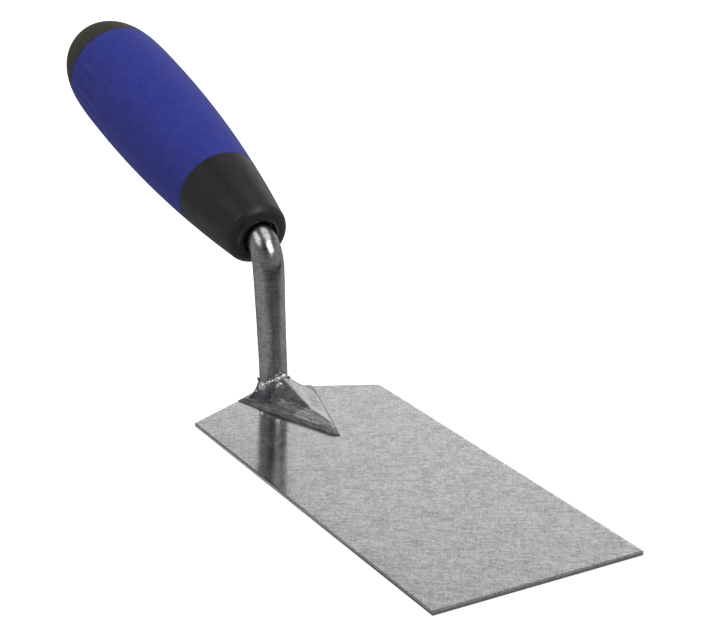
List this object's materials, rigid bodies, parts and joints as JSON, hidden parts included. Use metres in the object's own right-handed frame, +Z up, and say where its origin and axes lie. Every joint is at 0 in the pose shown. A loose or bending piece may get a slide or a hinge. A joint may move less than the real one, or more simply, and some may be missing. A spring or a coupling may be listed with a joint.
{
  "type": "margin trowel",
  "caption": "Hand trowel with a flat rectangular blade on a pointed heel, a bent round shank on a welded foot, and a soft-grip handle with a hard collar and end cap.",
  "frame": {"origin": "middle of the blade's flat underside: half way along the blade from the heel's point to the front edge, on its centreline", "axes": "+X along the blade towards its front edge, with the handle running back towards -X; +Y across the blade; +Z up, normal to the blade"},
  "size_m": [0.2598, 0.06, 0.0909],
  "materials": {
    "blade_steel": "flat-ground carbon steel with fine short grinding streaks",
    "foot_steel": "pressed steel, heat-darkened, worn bright on its ridge",
    "weld_metal": "lumpy weld metal, dark in the hollows and shiny on top",
    "shank_steel": "round steel bar with faint lengthwise flats, glossy on the bend",
    "core_plastic": "moulded black polypropylene, satin",
    "sleeve_rubber": "blue thermoplastic rubber, matte, with shallow flutes at the back",
    "cap_rubber": "charcoal thermoplastic rubber, matte"
  },
  "bodies": {
    "root": {"blade": "blade_steel", "foot": "foot_steel", "foot_weld_left": "weld_metal", "foot_weld_right": "weld_metal", "shank_weld": "weld_metal", "shank": "shank_steel", "handle_core": "core_plastic", "grip_sleeve": "sleeve_rubber", "end_cap": "cap_rubber"}
  },
  "joints": []
}
